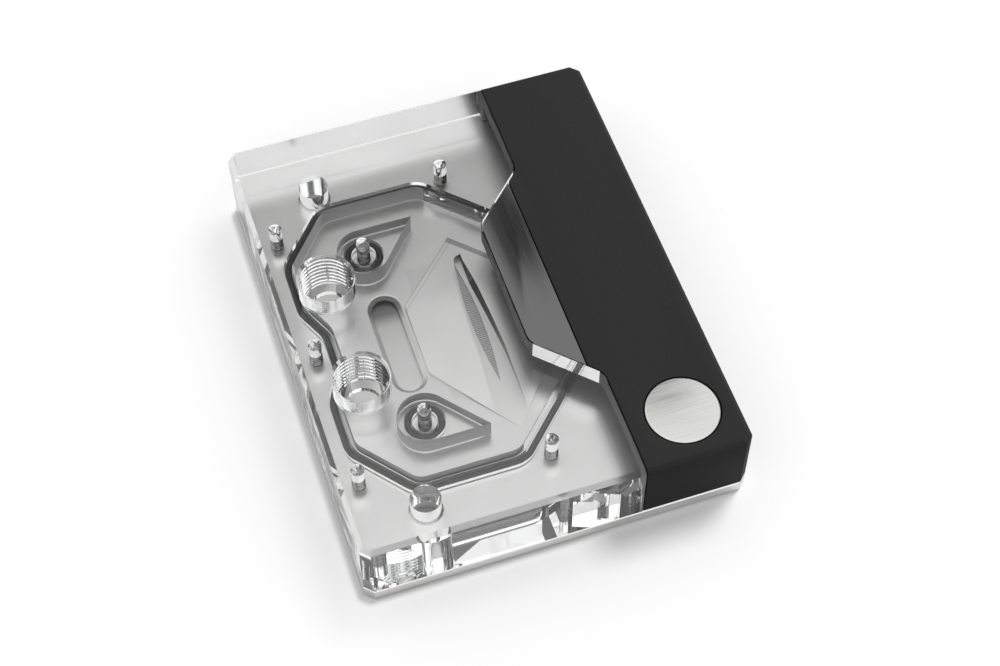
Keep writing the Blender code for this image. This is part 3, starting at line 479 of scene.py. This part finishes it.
def offset_outline(points, distance):
    """Move every side of a closed left-turning outline outwards by a distance."""
    moved = []
    for index, corner in enumerate(points):
        corner = Vector(corner)
        a = (corner - Vector(points[index - 1])).normalized()
        b = (Vector(points[(index + 1) % len(points)]) - corner).normalized()
        scale = distance / (1 + a.dot(b))
        moved.append((corner.x + (a.y + b.y) * scale, corner.y - (a.x + b.x) * scale))
    return moved


def circle(x, y, radius, sides=ROUND_SIDES):
    """Points round a circle, turning left."""
    angles = [2 * math.pi * index / sides for index in range(sides)]
    return [(x + radius * math.cos(angle), y + radius * math.sin(angle)) for angle in angles]


def temporary(bm, name="tool"):
    """An object made only to cut or join."""
    bmesh.ops.recalc_face_normals(bm, faces=bm.faces)
    mesh = bpy.data.meshes.new(name)
    bm.to_mesh(mesh)
    bm.free()
    obj = bpy.data.objects.new(name, mesh)
    bpy.context.scene.collection.objects.link(obj)
    return obj


def prism(outlines, low, high):
    """Extrude flat outlines between two heights; an outline inside another is a hole."""
    curve = bpy.data.curves.new("outline", "CURVE")
    curve.dimensions = "2D"
    curve.fill_mode = "BOTH"
    curve.extrude = (high - low) / 2
    for outline in outlines:
        spline = curve.splines.new("POLY")
        spline.points.add(len(outline) - 1)
        for point, (x, y) in zip(spline.points, outline):
            point.co = (x, y, 0.0, 1.0)
        spline.use_cyclic_u = True
    flat = bpy.data.objects.new("outline", curve)
    bpy.context.scene.collection.objects.link(flat)
    bpy.context.view_layer.update()
    mesh = bpy.data.meshes.new_from_object(flat.evaluated_get(bpy.context.evaluated_depsgraph_get()))
    bpy.data.objects.remove(flat, do_unlink=True)
    bm = bmesh.new()
    bm.from_mesh(mesh)
    bmesh.ops.remove_doubles(bm, verts=bm.verts, dist=0.000001)
    bmesh.ops.translate(bm, verts=bm.verts, vec=(0.0, 0.0, (low + high) / 2))
    return temporary(bm)


def box(low, high):
    """A plain box between two corners."""
    bm = bmesh.new()
    bmesh.ops.create_cube(bm, size=1.0)
    for vert in bm.verts:
        for axis in range(3):
            vert.co[axis] = low[axis] if vert.co[axis] < 0 else high[axis]
    return temporary(bm)


def turned(profile, at, sides=ROUND_SIDES):
    """Turn a profile of (radius, height) points about a vertical; it starts and ends on the axis."""
    bm = bmesh.new()
    rows = []
    for radius, height in profile:
        if radius == 0.0:
            rows.append([bm.verts.new((at[0], at[1], height))])
        else:
            rows.append([bm.verts.new((x, y, height)) for x, y in circle(*at, radius, sides)])
    for upper, lower in zip(rows, rows[1:]):
        for index in range(sides):
            after = (index + 1) % sides
            corners = [upper[index % len(upper)], lower[index % len(lower)]]
            corners += [lower[after % len(lower)], upper[after % len(upper)]]
            bm.faces.new(list(dict.fromkeys(corners)))
    return temporary(bm)


def threaded_rod(bm, at, low, length, pitch, radius, height, sides, steps):
    """Add a closed rod with a rounded helical thread to a bmesh; radius is the thread's outer one."""
    count = int(length / pitch * steps)

    def row_radius(index):
        return radius - height * (0.5 - 0.5 * math.cos(2 * math.pi * index / steps))

    grid = []
    for column in range(sides):
        angle = 2 * math.pi * column / sides
        lift = pitch * column / sides
        line = []
        for index in range(count + 1):
            size = row_radius(index)
            height_now = low + pitch * index / steps + lift
            place = (at[0] + size * math.cos(angle), at[1] + size * math.sin(angle), height_now)
            line.append(bm.verts.new(place))
        grid.append(line)
    for column in range(sides):
        seam = column == sides - 1
        after = grid[0] if seam else grid[column + 1]
        shift = steps if seam else 0
        here = grid[column]
        for index in range(count - shift):
            bm.faces.new((here[index], after[index + shift], after[index + shift + 1], here[index + 1]))
    lower = [line[0] for line in grid] + grid[0][steps:0:-1]
    upper = [line[count] for line in grid] + grid[-1][count - 1:count - steps - 1:-1]
    for loop, level in ((lower, low), (upper, low + pitch * count / steps + pitch)):
        tip = bm.verts.new((at[0], at[1], level))
        for first, second in zip(loop, loop[1:] + loop[:1]):
            bm.faces.new((first, second, tip))


def combine(target, tool, operation):
    """Cut, join or intersect with another solid."""
    modifier = target.modifiers.new("combine", "BOOLEAN")
    modifier.operation = operation
    modifier.solver = "EXACT"
    modifier.object = tool


def baked(obj):
    """The object's mesh with its modifiers applied; the object and its tools are removed."""
    bpy.context.view_layer.update()
    mesh = bpy.data.meshes.new_from_object(obj.evaluated_get(bpy.context.evaluated_depsgraph_get()))
    tools = [modifier.object for modifier in obj.modifiers if modifier.type == "BOOLEAN"]
    for used in tools + [obj]:
        bpy.data.objects.remove(used, do_unlink=True)
    return mesh


def cover_region(grow=0.0):
    """Plan of what the side cover takes."""
    far, long = HALF_WIDTH + MARGIN, HALF_LENGTH + MARGIN
    bend_y = NOSE_HALF + COVER_EDGE_X - NOSE_X
    half = [(NOSE_X, NOSE_HALF), (COVER_EDGE_X, bend_y), (COVER_EDGE_X, long), (far, long)]
    points = offset_outline(half[::-1] + [(x, -y) for x, y in half], grow)
    outer, inner = NOSE_CORNER + grow, NOSE_CORNER - grow
    return round_corners(points, [0, 0, inner, outer, outer, inner, 0, 0])


def ring_outline(grow=0.0):
    """The main ring's centre line moved outwards by a distance, with round corners."""
    notch_x = -RING_LEFT + RING_NOTCH_DEPTH
    half = [
        (RING_RIGHT, RING_HALF_LENGTH - RING_RIGHT_CUT),
        (RING_RIGHT - RING_RIGHT_CUT, RING_HALF_LENGTH),
        (-RING_LEFT + RING_LEFT_CUT_X, RING_HALF_LENGTH),
        (-RING_LEFT, RING_HALF_LENGTH - RING_LEFT_CUT_Y),
        (-RING_LEFT, RING_NOTCH_REACH),
        (notch_x, RING_NOTCH_FLAT),
    ]
    bends = [1, 1, 1, 1, 1, -1]
    points = half + [(x, -y) for x, y in reversed(half)]
    radii = [RING_CORNER + grow * bend for bend in bends + bends[::-1]]
    return round_corners(offset_outline(points, grow), radii)


def island_outline(side):
    """Drop-shaped island round a wet screw; side is +1 at the rear and -1 at the front."""
    x, y = WET_SCREW
    tip = (x + ISLAND_TIP_X, y + ISLAND_RADIUS)
    reach = math.hypot(ISLAND_TIP_X, ISLAND_RADIUS)
    tip_angle = math.atan2(ISLAND_RADIUS, ISLAND_TIP_X)
    spread = math.acos(ISLAND_RADIUS / reach)
    first, last = tip_angle + spread, tip_angle - spread + 2 * math.pi
    steps = 3 * ARC_STEPS
    points = [tip]
    for step in range(steps + 1):
        angle = first + (last - first) * step / steps
        points.append((x + ISLAND_RADIUS * math.cos(angle), y + ISLAND_RADIUS * math.sin(angle)))
    return points if side > 0 else [(px, -py) for px, py in reversed(points)]


def node_centre(name):
    """Centre of a node's box, seen from above."""
    low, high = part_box(name)
    return ((low.x + high.x) / 2, (low.y + high.y) / 2)


def port_tools(side):
    """Cutters for one port: chamfered mouth, thread, drill shoulder and passage to the chamber."""
    at = (PORT_X, side * PORT_Y)
    minor = PORT_RADIUS - PORT_THREAD_HEIGHT
    shoulder = BODY_TOP - PORT_THREAD_DEPTH
    above = BODY_TOP + MARGIN
    profile = [
        (0.0, above),
        (PORT_RADIUS + PORT_MOUTH_CHAMFER / 2 + MARGIN, above),
        (minor, BODY_TOP - PORT_MOUTH_CHAMFER / 2 - PORT_THREAD_HEIGHT),
        (minor, shoulder),
        (PORT_PASSAGE_RADIUS, shoulder - DRILL_TIP),
        (PORT_PASSAGE_RADIUS, CHAMBER_TOP - MARGIN / 2),
        (0.0, CHAMBER_TOP - MARGIN / 2),
    ]
    bm = bmesh.new()
    low = shoulder + PORT_THREAD_RUNOUT
    thread = (PORT_THREAD_PITCH, PORT_RADIUS, PORT_THREAD_HEIGHT)
    threaded_rod(bm, at, low, above - low, *thread, PORT_SIDES, THREAD_STEPS)
    return [turned(profile, at, PORT_SIDES), temporary(bm)]


def drill(at, depth, screw_top):
    """Cutter for a tapped blind hole: open above the screw, and tight on it below."""
    top, low = ACRYLIC_LOW + depth, ACRYLIC_LOW - MARGIN
    tight, end = THREAD_RADIUS - 2 * SCREW_THREAD_HEIGHT, screw_top - SCREW_TIGHT_END
    profile = [(0.0, top + DRILL_TIP), (THREAD_RADIUS, top), (THREAD_RADIUS, end), (tight, end), (tight, low)]
    return turned(profile + [(0.0, low)], at)


def chamfered_block(low, high, chamfer):
    """The block's plan between two heights, with its upper rim chamfered."""
    x, y, c = HALF_WIDTH, HALF_LENGTH, CORNER_CHAMFER
    right = [(x - c, -y), (x, c - y), (x, y - c), (x - c, y)]
    bm = bmesh.new()
    base = bm.faces.new([bm.verts.new((px, py, low)) for px, py in right + [(-px, -py) for px, py in right]])
    lifted = bmesh.ops.extrude_face_region(bm, geom=[base])["geom"]
    top_verts = [item for item in lifted if isinstance(item, bmesh.types.BMVert)]
    for vert in top_verts:
        vert.co.z = high
    rim = [edge for edge in bm.edges if all(vert in top_verts for vert in edge.verts)]
    bmesh.ops.bevel(bm, geom=rim, offset=chamfer, offset_type="OFFSET", segments=1, affect="EDGES")
    return temporary(bm)


def make_acrylic(material, seam, milled):
    """The clear top: smooth bores, real threads, painted shade on its faces at the cover and milled chamber
    walls.
    """
    body = chamfered_block(ACRYLIC_LOW, BODY_TOP, EDGE_CHAMFER)
    low = ACRYLIC_LOW - MARGIN
    combine(body, prism([cover_region(GAP)], low, BODY_TOP + MARGIN), "DIFFERENCE")
    step_y = HALF_LENGTH - COVER_WALL - GAP
    combine(body, box((0.0, -step_y, ACRYLIC_LOW), (STEP_X, step_y, STEP_TOP)), "UNION")
    chamber = ring_outline(-(RING_CORD / 2 + RING_SIDE_PLAY + CHAMBER_LAND))
    combine(body, prism([chamber, island_outline(1), island_outline(-1)], low, CHAMBER_TOP), "DIFFERENCE")
    half = RING_CORD / 2 + RING_SIDE_PLAY
    groove_top = PLATE_TOP + RING_CORD + 2 * GAP
    combine(body, prism([ring_outline(half), ring_outline(-half)], low, groove_top), "DIFFERENCE")
    half = WET_RING_CORD / 2 + RING_SIDE_PLAY
    groove_top = PLATE_TOP + WET_RING_CORD + 2 * GAP
    x, y = WET_SCREW
    for side in (1, -1):
        rims = [circle(x, side * y, WET_RING_RADIUS + sign * half) for sign in (1, -1)]
        combine(body, prism(rims, low, groove_top), "DIFFERENCE")
        for tool in port_tools(side):
            combine(body, tool, "DIFFERENCE")
        for sign in (1, -1):
            top = ACRYLIC_LOW + POCKET_DEPTH
            pocket = [(0.0, top), (POCKET_RADIUS, top), (POCKET_RADIUS, low), (0.0, low)]
            combine(body, turned(pocket, (sign * MOUNT_X, side * MOUNT_Y)), "DIFFERENCE")
    hole = SCREW_RADIUS + GAP
    for node in [f"plate_screw_{index}" for index in range(1, 8)] + ["wet_screw_rear", "wet_screw_front"]:
        depth = HIDDEN_HOLE_DEPTH if node in ("plate_screw_6", "plate_screw_7") else SCREW_HOLE_DEPTH
        combine(body, drill(node_centre(node), depth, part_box(node)[1].z), "DIFFERENCE")
    for index in (1, 2, 3):
        above = STEP_TOP + MARGIN
        shaft = [(0.0, above), (hole, above), (hole, low), (0.0, low)]
        combine(body, turned(shaft, node_centre(f"cover_screw_{index}")), "DIFFERENCE")
    obj = finish_mesh("acrylic_body", baked(body), material, ["acrylic_top"])
    obj.data.materials.append(seam)
    obj.data.materials.append(milled)
    vertices = obj.data.vertices
    middle = (ACRYLIC_LOW + CHAMBER_TOP) / 2
    for face in obj.data.polygons:
        upright = abs(face.normal.z) < 0.1
        # Faces that look at the cover get the painted dark shade of the seam; the chamber's upright walls get
        # the milled finish
        if face.normal.x > 0.8 and face.center.z > STEP_TOP + GAP and face.center.x > NOSE_X - MARGIN:
            face.material_index = 1
        elif upright and abs(face.center.z - middle) < WALL_BAND:
            if max(vertices[index].co.z for index in face.vertices) < CHAMBER_TOP + WALL_PLAY:
                face.material_index = 2


def make_insert(material):
    """The flow insert with its open channel, the slit and a thin sheet that covers the fins' corners."""
    low, high = PLATE_TOP + INSERT_SEAT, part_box("flow_insert")[1].z
    x, side = INSERT_HALF_WIDTH, INSERT_REAR - INSERT_HALF_WIDTH
    plan = [(0.0, INSERT_REAR), (-x, side), (-x, -INSERT_FRONT_SIDE), (0.0, -INSERT_FRONT)]
    plan += [(x, -INSERT_FRONT_SIDE), (x, side)]
    level = [(0.0, INSERT_REAR), (-x, side), (x, side)]
    bend = low + (high - low) * (INSERT_FRONT - INSERT_FRONT_SIDE) / (INSERT_FRONT + side)
    fading = [(-x, -INSERT_FRONT_SIDE), (x, -INSERT_FRONT_SIDE)]
    bm = bmesh.new()
    for points, height in ((plan, low), (level, high), (fading, bend)):
        for px, py in points:
            bm.verts.new((px, py, height))
    bmesh.ops.convex_hull(bm, input=bm.verts)
    body = temporary(bm)
    wide, long = FIN_SHEET_HALF_WIDTH, FIN_SHEET_HALF_LENGTH
    combine(body, box((-wide, -long, low), (wide, long, low + FIN_SHEET)), "UNION")
    right = [(px * MM, py * MM) for px, py in CHANNEL_RIGHT[::-1]]
    left = [(px * MM, py * MM) for px, py in CHANNEL_LEFT]
    inner = []
    for px, py in right:
        inner.append((px - CHANNEL_SLOPE * min(1.0, (CHANNEL_END - py) / CHANNEL_TAPER), py))
    above = high + CUT_ABOVE
    bm = bmesh.new()
    rings = []
    for points, height in ((inner + left, low + CHANNEL_FLOOR), (right + left, above)):
        rings.append([bm.verts.new((px, py, height)) for px, py in points])
    for index in range(len(rings[0])):
        bm.faces.new((rings[0][index - 1], rings[0][index], rings[1][index], rings[1][index - 1]))
    for ring in rings:
        bm.faces.new(ring)
    combine(body, temporary(bm), "DIFFERENCE")
    radius = (SLIT_HALF_LENGTH ** 2 + SLIT_HALF_WIDTH ** 2) / (2 * SLIT_HALF_WIDTH)
    swing = math.asin(SLIT_HALF_LENGTH / radius)
    arc = []
    for step in range(ARC_STEPS + 1):
        angle = -swing + 2 * swing * step / ARC_STEPS
        arc.append((radius * math.cos(angle) - radius + SLIT_HALF_WIDTH, radius * math.sin(angle)))
    arc += [(-px, -py) for px, py in arc[1:-1]]
    slit = [(px + SLIT_CENTRE[0], py + SLIT_CENTRE[1]) for px, py in arc]
    combine(body, prism([slit], low - MARGIN, above), "DIFFERENCE")
    finish_mesh("insert_body", baked(body), material, ["flow_insert", "jet_plate"], 8)


def make_ring(name, outline, cord, height, material, node):
    """A round rubber cord along a closed outline."""
    curve = bpy.data.curves.new(name, "CURVE")
    curve.dimensions = "3D"
    curve.bevel_depth = cord / 2
    curve.bevel_resolution = 6
    spline = curve.splines.new("POLY")
    spline.points.add(len(outline) - 1)
    for point, (x, y) in zip(spline.points, outline):
        point.co = (x, y, height, 1.0)
    spline.use_cyclic_u = True
    path = bpy.data.objects.new(name, curve)
    bpy.context.scene.collection.objects.link(path)
    finish_mesh(name, baked(path), material, [node])


def make_rings(material):
    """The main sealing ring and the two small ones."""
    low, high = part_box("main_o_ring")
    make_ring("seal_main", ring_outline(), RING_CORD, (low.z + high.z) / 2, material, "main_o_ring")
    for node, side in (("screw_o_ring_rear", 1), ("screw_o_ring_front", -1)):
        low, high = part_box(node)
        name = node.replace("screw_o_ring", "seal")
        outline = circle(WET_SCREW[0], side * WET_SCREW[1], WET_RING_RADIUS)
        make_ring(name, outline, WET_RING_CORD, (low.z + high.z) / 2, material, node)


def make_screws(material):
    """Countersunk screws with a real thread on the shaft."""
    nodes = [f"plate_screw_{index}" for index in range(1, 8)] + ["wet_screw_rear", "wet_screw_front"]
    nodes += [f"cover_screw_{index}" for index in range(1, 4)]
    for node in nodes:
        low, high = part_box(node)
        at = node_centre(node)
        head = (high.x - low.x) / 2
        seat = low.z + SCREW_HEAD
        thread = SCREW_RADIUS if node.startswith("cover") else THREAD_RADIUS
        core = thread - SCREW_THREAD_HEIGHT
        tip = high.z - SCREW_TIP_LENGTH
        profile = [(0.0, high.z), (core - SCREW_TIP_WIDTH, high.z), (core, tip), (core, seat)]
        profile += [(thread, seat), (head, seat - (head - thread)), (head, low.z), (0.0, low.z)]
        shaft = turned(profile, at, SCREW_SIDES)
        bm = bmesh.new()
        length = high.z - seat - SCREW_THREAD_PITCH - SCREW_TIP_LENGTH
        form = (SCREW_THREAD_PITCH, thread, SCREW_THREAD_HEIGHT)
        threaded_rod(bm, at, seat, length, *form, SCREW_SIDES, SCREW_THREAD_STEPS)
        combine(shaft, temporary(bm), "UNION")
        socket = prism([circle(*at, SCREW_SOCKET_RADIUS, 6)], low.z - MARGIN, low.z + SCREW_SOCKET_DEPTH)
        combine(shaft, socket, "DIFFERENCE")
        finish_mesh(node.replace("screw", "bolt"), baked(shaft), material, [node])


def dress(name, material, bevel=0.0, angle=30):
    """Give a CAD node its material, smooth shading and slightly broken edges."""
    node = NODES[name]
    node.data.materials.clear()
    node.data.materials.append(material)
    weld = node.modifiers.new("weld", "WELD")
    weld.merge_threshold = 0.000002
    flat = node.modifiers.new("flat_faces", "DECIMATE")
    flat.decimate_type = "DISSOLVE"
    flat.angle_limit = math.radians(0.5)
    if bevel:
        edge = node.modifiers.new("edge_break", "BEVEL")
        edge.width = bevel
        edge.segments = 2
        edge.limit_method = "ANGLE"
        edge.angle_limit = math.radians(angle)
    split = node.modifiers.new("sharp_edges", "EDGE_SPLIT")
    split.split_angle = math.radians(angle)
    node.data.shade_smooth()


def make_camera():
    """The photograph's camera."""
    data = bpy.data.cameras.new("camera")
    data.sensor_width = 36.0
    data.lens = CAMERA_LENS
    camera = bpy.data.objects.new("camera", data)
    camera.location = CAMERA_PLACE
    camera.rotation_euler = (math.radians(CAMERA_TILT), 0.0, math.radians(CAMERA_TURN))
    data.clip_start = 0.01
    bpy.context.scene.collection.objects.link(camera)
    bpy.context.scene.camera = camera


def make_floor():
    """A white floor that keeps the object's soft shadow."""
    bm = bmesh.new()
    bmesh.ops.create_grid(bm, x_segments=1, y_segments=1, size=FLOOR_SIZE)
    floor = temporary(bm, "floor")
    material = bpy.data.materials.new("white_floor")
    material.use_nodes = True
    tree = material.node_tree
    tree.nodes.clear()
    out = tree.nodes.new("ShaderNodeOutputMaterial")
    plain = tree.nodes.new("ShaderNodeBsdfDiffuse")
    plain.inputs["Color"].default_value = (FLOOR_COLOR, FLOOR_COLOR, FLOOR_COLOR, 1.0)
    tree.links.new(plain.outputs[0], out.inputs["Surface"])
    floor.data.materials.append(material)


def make_world():
    """Soft studio round the object: a bright dome with a dim gap behind, between backdrop and softbox."""
    world = bpy.data.worlds.new("studio")
    bpy.context.scene.world = world
    world.use_nodes = True
    tree = world.node_tree
    tree.nodes.clear()
    out = tree.nodes.new("ShaderNodeOutputWorld")
    fill = tree.nodes.new("ShaderNodeBackground")
    fill.inputs["Strength"].default_value = DOME_LEVEL
    mirrored = tree.nodes.new("ShaderNodeBackground")
    mirrored.inputs["Strength"].default_value = GLOSS_FRONT
    white = tree.nodes.new("ShaderNodeBackground")
    white.inputs["Strength"].default_value = 1.0
    place = tree.nodes.new("ShaderNodeTexCoord")
    dot = tree.nodes.new("ShaderNodeVectorMath")
    dot.operation = "DOT_PRODUCT"
    dot.inputs[1].default_value = GAP_DIRECTION
    ramp = tree.nodes.new("ShaderNodeValToRGB")
    ramp.color_ramp.interpolation = "EASE"
    ramp.color_ramp.elements[0].position = math.cos(math.radians(GAP_OUTER_ANGLE))
    ramp.color_ramp.elements[0].color = (1.0, 1.0, 1.0, 1.0)
    ramp.color_ramp.elements[1].position = math.cos(math.radians(GAP_INNER_ANGLE))
    ramp.color_ramp.elements[1].color = (GAP_LEVEL, GAP_LEVEL, GAP_LEVEL, 1.0)
    rear = GLOSS_REAR / GLOSS_FRONT
    side = graded(tree, along(tree, (0, 1, 0), "Generated"), [(-0.25, 1.0), (0.25, rear)])
    path = tree.nodes.new("ShaderNodeLightPath")
    gloss = tree.nodes.new("ShaderNodeMath")
    gloss.operation = "MAXIMUM"
    lit = tree.nodes.new("ShaderNodeMixShader")
    mix = tree.nodes.new("ShaderNodeMixShader")
    tree.links.new(place.outputs["Generated"], dot.inputs[0])
    tree.links.new(dot.outputs["Value"], ramp.inputs["Fac"])
    tree.links.new(times(tree, ramp.outputs["Color"], side), mirrored.inputs["Color"])
    tree.links.new(path.outputs["Is Glossy Ray"], gloss.inputs[0])
    tree.links.new(path.outputs["Is Transmission Ray"], gloss.inputs[1])
    tree.links.new(gloss.outputs[0], lit.inputs["Fac"])
    tree.links.new(fill.outputs[0], lit.inputs[1])
    tree.links.new(mirrored.outputs[0], lit.inputs[2])
    tree.links.new(path.outputs["Is Camera Ray"], mix.inputs["Fac"])
    tree.links.new(lit.outputs[0], mix.inputs[1])
    tree.links.new(white.outputs[0], mix.inputs[2])
    tree.links.new(mix.outputs[0], out.inputs["Surface"])


def make_lamp():
    """A wide soft light from the rear right, which neither gloss nor the clear top shows."""
    data = bpy.data.lights.new("key", "SUN")
    data.angle = math.radians(KEY_ANGLE)
    data.energy = KEY_LEVEL
    lamp = bpy.data.objects.new("key", data)
    lamp.location = KEY_PLACE
    lamp.rotation_euler = (-Vector(KEY_PLACE)).to_track_quat("-Z", "Y").to_euler()
    lamp.visible_glossy = False
    lamp.visible_transmission = False
    bpy.context.scene.collection.objects.link(lamp)


def build():
    """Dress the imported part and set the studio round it."""
    rubber = rubber_material()
    # Painted shade for the acrylic's faces along the cover seam, standing for the dark cover beside them
    seam = plastic_material("seam_painted_shade", (0.05, 0.05, 0.05), 0.6, 0.3)
    make_acrylic(acrylic_material(), seam, plastic_material("milled_wall", (0.86, 0.86, 0.86), 0.5, 0.04))
    make_insert(insert_material())
    make_rings(rubber)
    make_screws(screw_material())
    dress("cold_plate", plate_material())
    dress("side_cover", cover_material(), 0.15 * MM)
    dress("trim_plate", trim_material(), 0.08 * MM)
    dress("cover_disc", disc_material(), 0.05 * MM)
    dress("cable_grommet", rubber)
    dress("led_board", plastic_material("board_laminate", (0.02, 0.03, 0.025), 0.4, 0.3), 0.05 * MM)
    dress("led_connector", plastic_material("connector_shell", (0.6, 0.58, 0.52), 0.5, 0.1), 0.15 * MM)
    lens = plastic_material("led_lens", (0.85, 0.85, 0.80), 0.3, 0.06)
    for index in range(1, 7):
        dress(f"led_{index}", lens, 0.15 * MM)
    screw = screw_material()
    for index in (1, 2):
        dress(f"board_screw_{index}", screw, 0.05 * MM)
    make_camera()
    make_floor()
    make_world()
    make_lamp()
    for limit in ("max_bounces", "glossy_bounces", "transmission_bounces"):
        setattr(bpy.context.scene.cycles, limit, BOUNCES)
    bpy.context.scene.cycles.caustics_refractive = False


build()
bpy.context.scene.view_settings.view_transform = "Standard"
